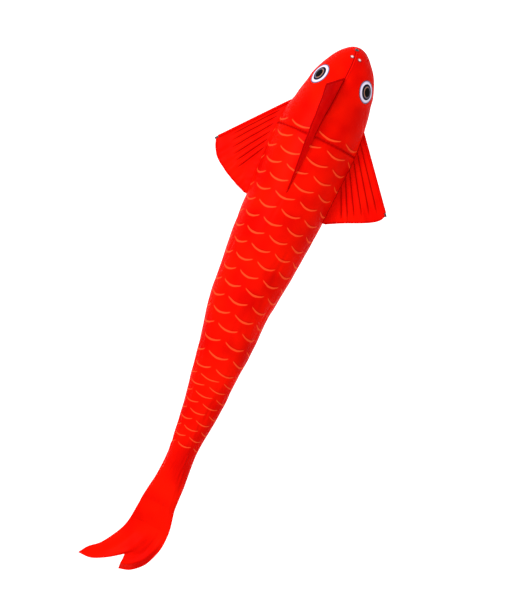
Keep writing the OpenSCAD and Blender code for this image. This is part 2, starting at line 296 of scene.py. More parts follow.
def tube(s, a, out=0.0, cloth=True):
    """Points on the tube. out lifts them off the cloth."""
    s, a = spread(s, a)
    up = out + (relief(s, a) if cloth else 0)
    w, h = half_width(s), half_height(s)
    n = unit(np.stack([np.zeros_like(s), np.sin(a) * h, np.cos(a) * w], -1))
    n[..., 0] = -np.where(s < HEAD_L, (HEAD_L - s) / HEAD_L ** 2 * HEAD_R ** 2
                          / np.maximum(radius(s), 0.004), 0)
    p = np.stack([s, middle_y(s) + w * np.sin(a), h * np.cos(a)], -1)
    return p + unit(n) * np.asarray(up)[..., None]


def tube_up(s, a):
    """Directions out from the tube."""
    return unit(tube(s, a, 0.001, cloth=False) - tube(s, a, 0, cloth=False))


def on_tube(s, a, out):
    """Points on the tube's cloth, and the directions up from it."""
    return tube(s, a, out), tube_up(s, a)


def mouth_start(angle, off):
    """Distance along where a line leaves the plane that lies off behind the mouth's.

    angle gives the line's angle round the tube at a distance along it.
    """
    start = np.zeros_like(angle(0.02))
    low, high = halve(start, start + 0.22, 50, lambda m: (
        math.sin(MOUTH) * m + math.cos(MOUTH) * np.cos(angle(m)) * radius(m) <= off))
    return (low + high) / 2


# ---- Meshes ----
SCENE = bpy.context.scene


def placed(name, data):
    obj = bpy.data.objects.new(name, data)
    SCENE.collection.objects.link(obj)
    return obj


def thicken(points, faces, thick, offset):
    """A second layer behind the first, and the rim between them."""
    quads = np.array([tuple(f) + (f[0],) * (4 - len(f)) for f in faces])
    a, b, c, d = (points[quads[:, k]] for k in range(4))
    triangle = quads[:, 3:] == quads[:, :1]
    n = np.where(triangle, np.cross(b - a, c - a), np.cross(c - a, d - b))
    total = np.zeros_like(points)
    for k in range(4):
        np.add.at(total, quads[:, k], n)
    total /= np.maximum(np.linalg.norm(total, axis=1, keepdims=True), 1e-15)
    front = points + total * thick * (1 + offset) / 2
    back = front - total * thick
    count = len(points)
    ways = {(f[k], f[(k + 1) % len(f)]) for f in faces for k in range(len(f))}
    rim = [[j, i, i + count, j + count] for i, j in sorted(ways) if (j, i) not in ways]
    flipped = [[v + count for v in f[::-1]] for f in faces]
    return np.vstack([front, back]), faces + flipped + rim


def mesh(name, points, faces, uvs=None, material=None, thick=0, offset=-1.0):
    """An object from points about the nose tip. uvs holds a pair per point for each map."""
    points = np.asarray(points, float).reshape(-1, 3)
    if thick:
        points, faces = thicken(points, faces, thick, offset)
    data = bpy.data.meshes.new(name)
    data.from_pydata((points + HOME).tolist(), [], faces)
    data.update()
    corner = np.zeros(len(data.loops), np.int32)
    data.loops.foreach_get("vertex_index", corner)
    for key, values in (uvs or {}).items():
        layer = data.uv_layers.new(name=key)
        values = np.asarray(values, np.float32).reshape(-1, 2)
        if thick:
            values = np.vstack([values, values])
        layer.data.foreach_set("uv", values[corner].ravel())
    data.polygons.foreach_set("use_smooth", [True] * len(data.polygons))
    if thick:
        data.set_sharp_from_angle(angle=math.radians(60))
    if material:
        data.materials.append(material)
    return placed(name, data)


def grid_faces(rows, cols, closed=False, flip=False):
    """Quads of a grid of points. closed joins the last column to the first."""
    span = cols if closed else cols - 1
    i, j = np.meshgrid(np.arange(rows - 1), np.arange(span), indexing="ij")
    k = (j + 1) % cols
    f = np.stack([i * cols + j, (i + 1) * cols + j, (i + 1) * cols + k, i * cols + k], -1)
    f = f.reshape(-1, 4)
    return (f[:, ::-1] if flip else f).tolist()


def frames(path, up):
    """Unit directions along, across and up at each point of a path."""
    t = unit(np.gradient(path, axis=0))
    across = unit(np.cross(up, t))
    return t, across, np.cross(t, across)


def run_of(path):
    """Length along a path to each of its points."""
    return np.concatenate([[0], np.cumsum(np.linalg.norm(np.diff(path, axis=0), axis=1))])


def evenly(path, n):
    """n points at equal steps along a path."""
    run = run_of(path)
    at = np.linspace(0, run[-1], n)
    return np.stack([np.interp(at, run, path[:, i]) for i in range(path.shape[1])], -1)


def resample(path, step):
    """Points at equal steps along a path, about one step apart."""
    return evenly(path, max(2, int(round(run_of(path)[-1] / step)) + 1))


def edge_ways(line, inward, axis):
    """Unit directions up and inward along a sheet's edge. up is positive on the axis."""
    up = np.cross(np.gradient(line, axis=0), inward)
    return unit(up * np.sign(up[:, [axis]])), unit(inward)


def stepped(path, up, step, keep=slice(None)):
    """A path and the directions up from it, at equal steps."""
    both = resample(np.hstack([path, np.broadcast_to(up, np.shape(path))])[keep], step)
    return both[:, :3], both[:, 3:]


def sweep(name, path, up, half_w, half_t, material, sides, power, closed=False):
    """A soft bar with a rounded flat section along a path."""
    _, across, high = frames(path, up)
    g = ring(sides)
    cx, cz = np.cos(g), np.sin(g)
    cx, cz = np.sign(cx) * np.abs(cx) ** power, np.sign(cz) * np.abs(cz) ** power
    hw, ht = (np.broadcast_to(v, len(path))[:, None, None] for v in (half_w, half_t))
    pts = path[:, None] + across[:, None] * cx[None, :, None] * hw \
        + high[:, None] * cz[None, :, None] * ht
    n = len(path)
    uv = pair(run_of(path)[:, None], (g / 6.283)[None] * 0.02)
    faces = grid_faces(n, sides, closed=True)
    if closed:
        j = np.arange(sides)
        k = (j + 1) % sides
        faces += np.stack([(n - 1) * sides + j, j, k, (n - 1) * sides + k], -1).tolist()
    else:
        faces += [list(range(sides)), list(range(n * sides - 1, (n - 1) * sides - 1, -1))]
    return mesh(name, pts, faces, {"cloth": uv}, material)


STITCH_PITCH, STITCH_LENGTH = 0.0042, 0.0029
STITCH_FACES = grid_faces(5, 6, closed=True) + [[0, 1, 2, 3, 4, 5], [29, 28, 27, 26, 25, 24]]


def stitches(name, rows, material, size=0.00034):
    """Thread showing along seams. rows holds pairs of a path and its up directions."""
    points, faces = [], []
    g = ring(6)
    along = np.array([-0.5, -0.36, 0, 0.36, 0.5]) * STITCH_LENGTH
    thick = np.array([0.25, 0.8, 1, 0.8, 0.25]) * size
    lift = np.array([-0.9, 0.1, 0.5, 0.1, -0.9]) * size
    for path, up in rows:
        p, up = stepped(path, up, STITCH_PITCH)
        t, across, high = frames(p, up)
        c = (p[:-1] + p[1:]) / 2
        t, across, high = t[:-1], across[:-1], high[:-1]
        pts = (c[:, None, None] + t[:, None, None] * along[None, :, None, None]
               + high[:, None, None] * lift[None, :, None, None]
               + across[:, None, None] * (thick[:, None] * np.cos(g))[None, :, :, None]
               + high[:, None, None] * (thick[:, None] * np.sin(g))[None, :, :, None])
        for one in pts:
            base = len(points) * 30
            points.append(one.reshape(-1, 3))
            faces += [[base + v for v in f] for f in STITCH_FACES]
    return mesh(name, np.concatenate(points), faces, None, material)


def declare(parts):
    """Hides the CAD nodes a piece stands for."""
    for part in parts:
        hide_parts(part)


def on_head(obj, slot, *parts):
    """A piece that rides with the head."""
    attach(obj, "head_section")
    declare(parts)


def bending(obj, bodies, start, end, slot, *parts):
    """Bakes a piece's place into its mesh, and hides the CAD nodes it stands for."""
    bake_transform(obj)
    declare(parts)


# ---- Materials ----


def feed(tree, socket, v):
    """Links a value or colour into a node's input, or sets the input to a plain one."""
    v = v.socket if isinstance(v, Value) else v
    if isinstance(v, bpy.types.NodeSocket):
        tree.links.new(v, socket)
    else:
        socket.default_value = (*v, 1) if isinstance(v, tuple) else v


def node(tree, kind, **inputs):
    """A new node with its inputs linked or set."""
    n = tree.nodes.new("ShaderNode" + kind)
    for key, v in inputs.items():
        feed(tree, n.inputs[key.replace("_", " ")], v)
    return n


def sum_of(kind):
    """A method of Value that makes a Math node of that kind."""
    return lambda self, *others: self.op(kind, *others)


class Value:
    """A number that a material works out, written as plain sums."""

    def __init__(self, tree, socket):
        self.tree, self.socket = tree, socket

    def op(self, kind, *others):
        n = node(self.tree, "Math")
        n.operation = kind
        for i, v in enumerate((self,) + others):
            feed(self.tree, n.inputs[i], v)
        return Value(self.tree, n.outputs[0])

    __add__ = sum_of("ADD")
    __sub__ = sum_of("SUBTRACT")
    __mul__ = sum_of("MULTIPLY")
    __truediv__ = sum_of("DIVIDE")
    abs = sum_of("ABSOLUTE")
    round = sum_of("ROUND")
    max = sum_of("MAXIMUM")
    min = sum_of("MINIMUM")
    root = sum_of("SQRT")

    def under(self, edge, soft):
        """1 well below the edge, 0 above it, with a soft step between."""
        n = node(self.tree, "MapRange", Value=self, From_Min=edge - soft, From_Max=edge + soft,
                 To_Min=1, To_Max=0)
        n.interpolation_type = "SMOOTHSTEP"
        return Value(self.tree, n.outputs[0])


class Paint:
    """One material: a Principled surface, with light coming through it if it is thin cloth."""

    def __init__(self, name, rough, through=0.0, **plain):
        self.mat = bpy.data.materials.new(name)
        self.mat.use_nodes = True
        self.tree = self.mat.node_tree
        self.tree.nodes.clear()
        self.skin = node(self.tree, "BsdfPrincipled", Roughness=rough, **plain)
        self.glow = node(self.tree, "BsdfTranslucent") if through else None
        whole = self.skin
        if through:
            whole = node(self.tree, "MixShader")
            for i, v in enumerate((through, self.skin.outputs[0], self.glow.outputs[0])):
                feed(self.tree, whole.inputs[i], v)
        node(self.tree, "OutputMaterial", Surface=whole.outputs[0])

    def uv(self, name):
        """Both numbers of a map, and the map itself."""
        n = node(self.tree, "UVMap")
        n.uv_map = name
        x = node(self.tree, "SeparateXYZ", Vector=n.outputs[0])
        return Value(self.tree, x.outputs[0]), Value(self.tree, x.outputs[1]), n.outputs[0]

    def noise(self, where, scale, detail=2, rough=0.5):
        n = node(self.tree, "TexNoise", Vector=where, Scale=scale, Detail=detail, Roughness=rough)
        return Value(self.tree, n.outputs["Fac"])

    def blend(self, share, a, b):
        """Colour a where share is 0 and b where it is 1."""
        n = node(self.tree, "Mix")
        n.data_type = "RGBA"
        for i, v in ((0, share), (6, a), (7, b)):
            feed(self.tree, n.inputs[i], v)
        return n.outputs[2]

    def color(self, v):
        feed(self.tree, self.skin.inputs["Base Color"], v)
        if self.glow:
            feed(self.tree, self.glow.inputs["Color"], v)

    def bump(self, height, distance, strength):
        n = node(self.tree, "Bump", Strength=strength, Distance=distance, Height=height)
        for shader in (self.skin, self.glow):
            if shader:
                feed(self.tree, shader.inputs["Normal"], n.outputs[0])

    def weave(self, depth, strength):
        """Ripstop: fine threads, with a thicker pair at every step both ways."""
        u, v, where = self.uv("cloth")
        near = []
        for x in (u, v):
            cell = x / RIPSTOP
            near.append((cell - cell.round()).abs().under(0.07, 0.05))
        rib = near[0].max(near[1])
        self.bump(rib * 0.7 + self.noise(where, 900, 2, 0.6) * 0.5, depth, strength)
        return where


RIPSTOP = 0.005                    # from one thick pair of threads to the next
RED = (0.94, 0.0022, 0.0002)
DEEP = (0.86, 0.0003, 0.0010)
INK = (1.0, 0.075, 0.018)
SHADE = (0.42, 0.001, 0.0004)
GLOSS = 0.012                      # specular level of the coated cloth
CLOTH_ROUGH = 0.42


def cloth_paint(name, base, scales=False, through=0.16):
    p = Paint(name, CLOTH_ROUGH, through, Specular_IOR_Level=GLOSS)
    where = p.weave(0.00006, 0.55)
    patch = p.noise(where, 9, 2, 0.5)
    orange = tuple(min(1, c * f + g) for c, f, g in zip(base, (1.06, 1.5, 1.5), (0, 0.003, 0)))
    tint = p.blend(patch.under(0.5, 0.20), orange, tuple(c * 0.80 for c in base))
    if scales:
        tint = scale_print(p, tint)
    p.color(tint)
    feed(p.tree, p.skin.inputs["Roughness"], p.noise(where, 60, 2) * 0.10 + (CLOTH_ROUGH - 0.05))
    return p.mat


def scale_print(p, under):
    """Rows of printed arcs that bulge towards the tail, each with a thin shade ahead of it."""
    col, row, where = p.uv("scales")
    wobble = p.noise(where, 2.3, 1) * 0.05 - 0.025
    shown = row.under(27.15, 0.02)                   # the last row
    shade = ink = None
    for odd in (0, 1):
        c0 = ((col - (1 - odd)) / 2).round() * 2 + (1 - odd)
        r0 = ((row + 0.22 - odd) / 2).round() * 2 + odd
        x = (col - c0) / 0.86
        off = row - r0 + x * x * 0.29 + wobble
        end = (x * x).min(1) * -1 + 1
        inside = x.abs().under(0.90, 0.08)
        line = off.abs().under(end * 0.036 + 0.028, 0.030) * inside
        dark = (off + 0.095).abs().under(end * 0.03 + 0.004, 0.06) * inside
        first = (r0 + 0.5).under(0, 0.01) * -1 + 1
        ink = line * first if ink is None else ink.max(line * first)
        shade = dark * first if shade is None else shade.max(dark * first)
    tint = p.blend(shade * shown * 0.45, under, SHADE)
    return p.blend(ink * shown, tint, INK)


TUBE_CLOTH = cloth_paint("tube_cloth", RED, scales=True)
BACK_CLOTH = cloth_paint("back_fin_cloth", DEEP, through=0.12)


def scaled(color, share):
    return tuple(min(1, c * share) for c in color)


def tape_paint(name, base):
    """Ribbed binding tape, with painted shade in the grooves between its ribs."""
    p = Paint(name, 0.7, Specular_IOR_Level=0.01)
    cell = p.uv("cloth")[0] / 0.0011
    rib = (cell - cell.round()).abs() * 2
    # Darker where the bump is low: painted shade in the grooves between the ribs.
    p.color(p.blend(rib.under(0.5, 0.4), scaled(base, 0.72), base))
    p.bump(rib * -1 + 1, 0.0001, 0.6)
    return p.mat


TAPE = tape_paint("binding_tape", (0.30, 0.0015, 0.0015))


def plain_paint(name, color, rough, speckle, scale, **more):
    p = Paint(name, rough, **more)
    f = p.noise(node(p.tree, "TexCoord").outputs["Object"], scale, 3)
    p.color(p.blend(f, scaled(color, 1 - speckle), scaled(color, 1 + speckle)))
    p.bump(f, 0.00004, 0.4)
    return p.mat


THREAD = plain_paint("dark_thread", (0.46, 0.0008, 0.0004), 0.8, 0.3, 2500, Specular_IOR_Level=0)
RED_THREAD = plain_paint("red_thread", (0.58, 0.004, 0.001), 0.65, 0.3, 2500,
                         Specular_IOR_Level=0)
EDGE_THREAD = plain_paint("edge_thread", (0.035, 0.004, 0.016), 0.7, 0.3, 2500, Sheen_Weight=0.4)
FIBRE = plain_paint("fibreglass", (0.62, 0.56, 0.42), 0.38, 0.14, 700)
ENAMEL = plain_paint("black_enamel", (0.008, 0.008, 0.009), 0.28, 0.3, 300, Coat_Weight=0.5)
VINYL = plain_paint("black_vinyl", (0.012, 0.012, 0.013), 0.48, 0.3, 900)
TUBE_METAL = plain_paint("drawn_aluminium", (0.72, 0.73, 0.74), 0.32, 0.05, 500, Metallic=1.0)


def eye_paint(tag, side):
    """Rings about the middle of the patch: the map holds a point's place on it in metres."""
    p = Paint("eye_print_" + tag, 0.5, 0.04, Specular_IOR_Level=0.02)
    p.weave(0.00005, 0.45)
    x, y, _ = p.uv("patch")
    x = x / EYE_LONG
    r = (x * x + y * y).root() / EYE_R
    y = y - side * PUPIL_ASIDE
    off = (x * x + y * y).root() / EYE_R
    inner = (y * side + 0.0015).under(0, 0.004)
    tint = (0.020, 0.002, 0.016)                     # the dark rim, then the rings inside it
    for share, shade in ((r.under(0.955, 0.012), (0.50, 0.38, 0.66)),
                         (r.under(0.88, 0.06), (0.80, 0.74, 0.90)),
                         (r.under(0.70, 0.02), (0.006, 0.005, 0.012)),
                         (off.under(0.53, 0.02), (0.13, 0.11, 0.16)),
                         (off.under(0.48, 0.03) * inner, (0.42, 0.19, 0.10)),
                         (off.under(0.41, 0.02), (0.003, 0.002, 0.003))):
        tint = p.blend(share, tint, shade)
    p.color(tint)
    return p.mat


def nostril_paint():
    p = Paint("nostril_print", 0.42, 0.04, Specular_IOR_Level=0.12)
    p.weave(0.00005, 0.45)
    x, y, _ = p.uv("patch")
    r = (x * x + y * y).root() / NOSTRIL_R
    tint = p.blend(r.under(0.80, 0.05), (0.14, 0.001, 0.002), (0.84, 0.42, 0.42))
    tint = p.blend(r.under(0.45, 0.25), tint, (0.92, 0.72, 0.70))
    p.color(tint)
    return p.mat


EYE_R, EYE_LONG = 0.0268, 1.14     # the eyes are printed a little longer than wide
PUPIL_ASIDE = 0.0014
NOSTRIL_R = 0.0047
EYE = {"right": eye_paint("right", 1), "left": eye_paint("left", -1)}
NOSTRIL = nostril_paint()

# ---- The tube's skin ----
# Distance from column to column of the printed scales, at distances along the fish
PITCH = ([0.267, 0.5, 0.75, 0.926, 1.02, 1.10], [0.0425, 0.0335, 0.0345, 0.036, 0.030, 0.025])
NO_SCALES = 40.0                   # a row behind the last printed one


def scale_map(s, a):
    """Column and row of the printed scales at a place on the tube."""
    col = a * radius(s) / np.interp(s, *PITCH)
    row = np.where(s < 0.926, (s - 0.257) / 0.0372, 18 + (s - 0.926) / 0.0233)
    return pair(col, row)


def skin(name, s, a):
    """A piece of the tube's skin, and its form before folds with that form's width and length."""
    maps = {"cloth": pair(s, a * radius(s)), "scales": scale_map(s, a)}
    obj = mesh(name, tube(s, a), grid_faces(*s.shape), maps, TUBE_CLOTH, SHELL)
    form = tube(s, a, cloth=False)
    wide, long = (float(np.linalg.norm(np.diff(form, axis=k), axis=-1).sum(k).max())
                  for k in (1, 0))
    return obj, (form, wide, long)


def strip_edge(s, side):
    """Angle at which a side of the head goes under the seam strip."""
    return seam_turn(s) + side * np.arcsin(np.minimum(0.98, 0.0049 / radius(s)))


BINDING_GAP = 0.0006               # the head's cloth starts this far behind the mouth's plane


def head_part(tag, side):
    """The cloth of one side of the head, from the mouth's binding to the gill seam."""
    u = np.linspace(0, 1, 116)
    s0 = mouth_start(lambda s: mix(strip_edge(s, side), side * CHIN, u), BINDING_GAP)
    t = np.linspace(0, 1, 128)[:, None] ** 1.7
    s = mix(s0[None], GILL, t)
    a = mix(strip_edge(s, side), side * CHIN, u[None])
    if side < 0:
        s, a = s[:, ::-1], a[:, ::-1]
    obj, form = skin("head_skin_" + tag, s, a)
    on_head(obj, "tube_cloth", "head_panel_" + tag)


def chin_part():
    lap = 0.02                     # the chin's cloth runs on under the sides', in radians
    a0 = np.linspace(CHIN - lap, 2 * math.pi - CHIN + lap, 50)
    s0 = mouth_start(lambda s: a0, BINDING_GAP)
    t = np.linspace(0, 1, 100)[:, None] ** 1.15
    s = mix(s0[None], GILL, t)
    obj, form = skin("head_chin", s, np.broadcast_to(a0, s.shape))
    on_head(obj, "tube_cloth", "chin_panel")


def wrap(name, start, end, step, cols, bodies, bend, before, after, *parts):
    """A stretch of the tube, between two distances along it."""
    a = np.linspace(-math.pi, math.pi, cols)
    s = np.linspace(start, end, int((end - start) / step) + 1)
    obj, form = skin(name, *np.meshgrid(s, a, indexing="ij"))
    bending(obj, bodies, (bend - before, 0, 0), (bend + after, 0, 0), "tube_cloth", *parts)


head_part("right", 1)
head_part("left", -1)
chin_part()
FRONT_END, MIDDLE_END = 0.600, 0.930
wrap("tube_front", GILL, FRONT_END, 0.0026, 241, ("head_section", "mid_section"),
     BEND_1, 0.055, 0.065, "front_tube", "mid_tube")
wrap("tube_middle", FRONT_END, MIDDLE_END, 0.0026, 231, ("mid_section", "rear_section"),
     BEND_2, 0.070, 0.075, "rear_tube")
wrap("tube_rear", MIDDLE_END, TAIL, 0.0022, 181, ("rear_section", "tail_root"),
     BEND_3, 0.055, 0.060, "tail_sleeve")

# ---- The tail: two layers that part from the flattened tube and are cut to a fork ----


def curve(points, n):
    """A smooth line through points, with n points at equal steps."""
    p = np.asarray(points, float)
    p = np.vstack([2 * p[0] - p[1], p, 2 * p[-1] - p[-2]])
    out = []
    for i in range(1, len(p) - 2):
        t = np.linspace(0, 1, 24, endpoint=False)[:, None]
        out.append(0.5 * (2 * p[i] + (p[i + 1] - p[i - 1]) * t
                          + (2 * p[i - 1] - 5 * p[i] + 4 * p[i + 1] - p[i + 2]) * t ** 2
                          + (3 * p[i] - p[i - 1] - 3 * p[i + 1] + p[i + 2]) * t ** 3))
    return evenly(np.vstack(out + [p[-2][None]]), n)


def share_of(line, t):
    """Places a share t of the way along a line of equal steps."""
    at = np.linspace(0, 1, len(line))
    return np.stack([np.interp(t, at, line[:, i]) for i in range(2)], -1)


TAIL_A = float(half_width(TAIL))
TAIL_MID = float(middle_y(TAIL))
TIP_LEFT, NOTCH, TIP_RIGHT = (1.506, -0.1065), (1.457, 0.0055), (1.501, 0.0045)
EDGE_LEFT = [(TAIL, TAIL_MID - TAIL_A), (1.330, -0.0190), (1.367, -0.0225), (1.395, -0.0295),
             (1.424, -0.0435), (1.457, -0.0645), (1.480, -0.0895), TIP_LEFT]
EDGE_RIGHT = [(TAIL, TAIL_MID + TAIL_A), (1.335, 0.0850), (1.367, 0.0885), (1.409, 0.0861),
              (1.450, 0.0721), (1.471, 0.0585), (1.492, 0.0335), TIP_RIGHT]
TRAIL_LEFT = [TIP_LEFT, (1.505, -0.0715), (1.488, -0.0360), (1.468, -0.0070), NOTCH]
TRAIL_RIGHT = [NOTCH, (1.478, 0.0065), TIP_RIGHT]


def tail_points(rows, cols, relief_on=True):
    """The tail's two layers as rows of closed loops, from the tube to the cut edge."""
    v = np.linspace(0, 1, rows)
    phi = np.linspace(-math.pi / 2, 1.5 * math.pi, cols)
    u = (1 + np.sin(phi)) / 2
    left, right = curve(EDGE_LEFT, rows), curve(EDGE_RIGHT, rows)
    root = pair(TAIL, TAIL_MID + TAIL_A * np.sin(phi))
    trail = np.where(u[:, None] < 0.5, share_of(curve(TRAIL_LEFT, 400), u * 2),
                     share_of(curve(TRAIL_RIGHT, 400), u * 2 - 1))
    vv, uu = v[:, None, None], u[None, :, None]
    flat = ((1 - vv) * root[None] + vv * trail[None]
            + (1 - uu) * left[:, None] + uu * right[:, None]
            - (1 - uu) * (1 - vv) * root[0] - uu * (1 - vv) * np.array(EDGE_RIGHT[0])
            - (1 - uu) * vv * np.array(TIP_LEFT) - uu * vv * np.array(TIP_RIGHT))
    x, y = flat[..., 0], flat[..., 1]
    v, u = np.broadcast_arrays(v[:, None], u[None])
    thick = mix(half_height(np.minimum(x, FLAT)), 0.0006, ease(v, 0.25, 0.7))
    cos, sin = np.cos(phi)[None], np.sin(phi)[None]
    z = cos * thick
    if relief_on:
        z = z + tail_lift(u, v)
        z = z + cos ** 2 * np.sign(cos) * tail_puffs(x, y) * (1 - ease(v, 0.75, 1))
        side = (1 - ease(v, 0, 0.2)) * relief(np.full(cols, TAIL), wrap_angle(phi))[None]
        z = z + side * cos
        y = y + side * sin
    return np.stack([x, y, z], -1)


def tail_lift(u, v):
    """Height of both layers together: a dip where the tube goes flat, and the lobes' lift."""
    z = -0.004 * bump_at(v, 0.34, 0.17) + 0.010 * ease(v, 0.45, 1) * ease(u, 0.62, 0.0)
    z = z - 0.011 * ease(u, 0.72, 1.0) ** 2 * ease(v, 0.25, 0.8)
    z = z + 0.006 * ease(v, 0.55, 1) * bump_at(u, 0.72, 0.14)
    fan = (0.0022 * np.sin(13 * u + 2.2 + 1.5 * v) + 0.0008 * np.sin(27 * u - 1.0)
           + 0.0004 * np.sin(41 * u + 7 * v + 0.6))
    z = z + fan * ease(v, 0.08, 0.55)
    flutter = 0.0010 * np.sin(22 * u + 9 * v) * ease(v, 0.72, 1)
    return z + flutter


def tail_puffs(x, y):
    """The layers part a little between their stitched lines."""
    return 0.0009 * (1 + np.sin(95 * x + 40 * y) * np.sin(120 * y - 30 * x))


def make_tail():
    rows, cols = 150, 241
    p = tail_points(rows, cols)
    uv = pair(p[..., 0], p[..., 1] + np.where(np.arange(cols)[None] > cols // 2, 0.3, 0))
    faces = grid_faces(rows, cols)
    last = (rows - 1) * cols
    for j in range(cols // 2):                       # the cut edges, sewn together
        k = cols - 1 - j
        faces.append([last + j, last + k, last + k - 1, last + j + 1][::-1])
    maps = {"cloth": uv, "scales": np.full((rows, cols, 2), NO_SCALES)}
    obj = mesh("tail_sheet", p, faces, maps, TUBE_CLOTH)
    obj.modifiers.new("join", "WELD").merge_threshold = 0.00002
    bending(obj, ("tail_root", "tail_end"), (TAIL_FOLD - 0.025, 0, 0), (TAIL_FOLD + 0.030, 0, 0),
            "fin_cloth", "tail_fin")
    form = tail_points(rows, cols, relief_on=False)


make_tail()

# ---- Side fins ----
# A place on a fin is given as distance along the fish and distance out from the
# root hinge, measured on the cloth.
FIN_FRONT = 0.212
FIN_TIP = np.array([0.368, 0.134])
HINGE_OUT = 0.0006                 # where the rod's line meets the root
# Trailing edges of the right fin (1) and the left fin (-1), from the tip to the root
FIN_EDGE = {1: [(0.368, 0.134), (0.383, 0.1285), (0.3965, 0.1140), (0.4115, 0.0880),
                (0.4350, 0.0390), (0.4560, HINGE_OUT)],
            -1: [(0.368, 0.134), (0.395, 0.1215), (0.4180, 0.1010), (0.4375, 0.0700),
                 (0.4555, 0.0340), (0.4685, HINGE_OUT)]}
DROOP = math.radians(10)
SLEEVE_R = 0.0036
ROD_ROOT = np.array([FIN_FRONT, HINGE_OUT])
ROD_L = float(np.linalg.norm(FIN_TIP - ROD_ROOT))
ROD_DIR = (FIN_TIP - ROD_ROOT) / ROD_L
ROOT_RUN = 0.0118                  # the sheet follows the rod's line this far into the tube
SLEEVE_FROM, SLEEVE_TO = -0.018, ROD_L - 0.006
FIN_THICK = 0.0006
PLEATS = {1: (0.085, 0.175, 0.27, 0.37, 0.47, 0.57), -1: (0.05, 0.12, 0.20, 0.285, 0.375, 0.47)}
HEM_THICK = 0.00085
PLEAT_HALF = 0.0034                # half the width of a pleat, away from the root


def fin_place(side, x, out, lift):
    """A point of a fin from its place on the cloth. The cloth turns down at the hinge."""
    x, out, lift = spread(x, out, lift)
    beyond = soft_plus(out, 0.002)
    y = FIN_Y + out - beyond * (1 - math.cos(DROOP)) + lift * math.sin(DROOP) * (out > 0)
    z = -beyond * math.sin(DROOP) + lift * math.cos(DROOP)
    return np.stack([x, side * y, z], -1)


def fin_lines(side, rows, cols):
    """Lines that fan from the root seam to the trailing edge, first along the rod."""
    w = np.linspace(0, 1, rows) ** 1.12
    q = np.linspace(0, 1, cols)
    front = ROD_ROOT - ROD_DIR * ROOT_RUN
    xr = mix(front[0], FIN_EDGE[side][-1][0] + 0.001, w)
    root = pair(xr, side * middle_y(xr) + half_width(xr) - 0.0012 - FIN_Y)
    trail = share_of(curve(FIN_EDGE[side], 600), 1 - (1 - w) ** 1.6)
    return w, q, mix(root[:, None], trail[:, None], q[None, :, None])


def pleat(w, p, wk):
    """Where a pleat starts, the run along it and the direction across it."""
    k = int(np.argmin(np.abs(w - wk)))
    run = p[k][-1] - p[k][0]
    line = run / np.linalg.norm(run)
    return p[k][0], run, np.array([-line[1], line[0]])


def pleat_half(q):
    """Half the width of a pleat, which is narrower towards the root."""
    return PLEAT_HALF * mix(0.62, 1.0, ease(q, 0, 0.5))


def fin_relief(side, w, q, p):
    """Height of a fin's cloth over its plane, and how far each point is from a pleat's edge."""
    w2, q2 = np.broadcast_arrays(w[:, None], q[None])
    near = np.full(w2.shape, 9.0)
    h = np.zeros(w2.shape)
    start, stop = (0.03, 0.97) if side > 0 else (0.12, 0.80)
    ends = ease(q2, start, start + 0.05) * (1 - ease(q2, stop - 0.14, stop))
    for wk in PLEATS[side]:
        first, _, across = pleat(w, p, wk)
        inside = np.clip(np.abs((p - first) @ across) / pleat_half(q2), 0, 4)
        h = h - 0.0016 * bump_at(inside, 0, 0.45) * ends         # the crease
        h = h + 0.0008 * bump_at(inside, 1.25, 0.5) * ends       # and its raised edges
        near = np.minimum(near, inside)
    out = p[..., 1]
    billow = 0.0085 * np.sin(math.pi * np.clip(w2, 0, 1) ** 0.8) * ease(out, 0.0, 0.07)
    edge = ease(q2, 0.60, 1.0) * ease(w2, 0.05, 0.25)
    flutter = 0.0022 * np.sin(26 * w2 + (0.8 if side > 0 else 2.4)) \
        + 0.0012 * np.sin(51 * w2 + 1.1 * side)
    tug = 0.0004 * np.sin(330 * p[..., 0] + side) * np.exp(-np.maximum(out, 0) / 0.012) \
        * ease(out, -0.004, 0.003)
    rod = 1 - ease(w2, 0.0, 0.03)
    soft = 0.0007 * np.sin(70 * p[..., 0] + 95 * out + side) * ease(out, 0.01, 0.04)
    return h * ease(w2, 0.01, 0.04) + (billow + edge * flutter + tug + soft) * (1 - rod), near


def fin_rod_line(side, at):
    p = ROD_ROOT + ROD_DIR * at[:, None]
    return fin_place(side, p[:, 0], p[:, 1], 0)


def fin_up(side):
    return np.array([0, side * math.sin(DROOP), math.cos(DROOP)])


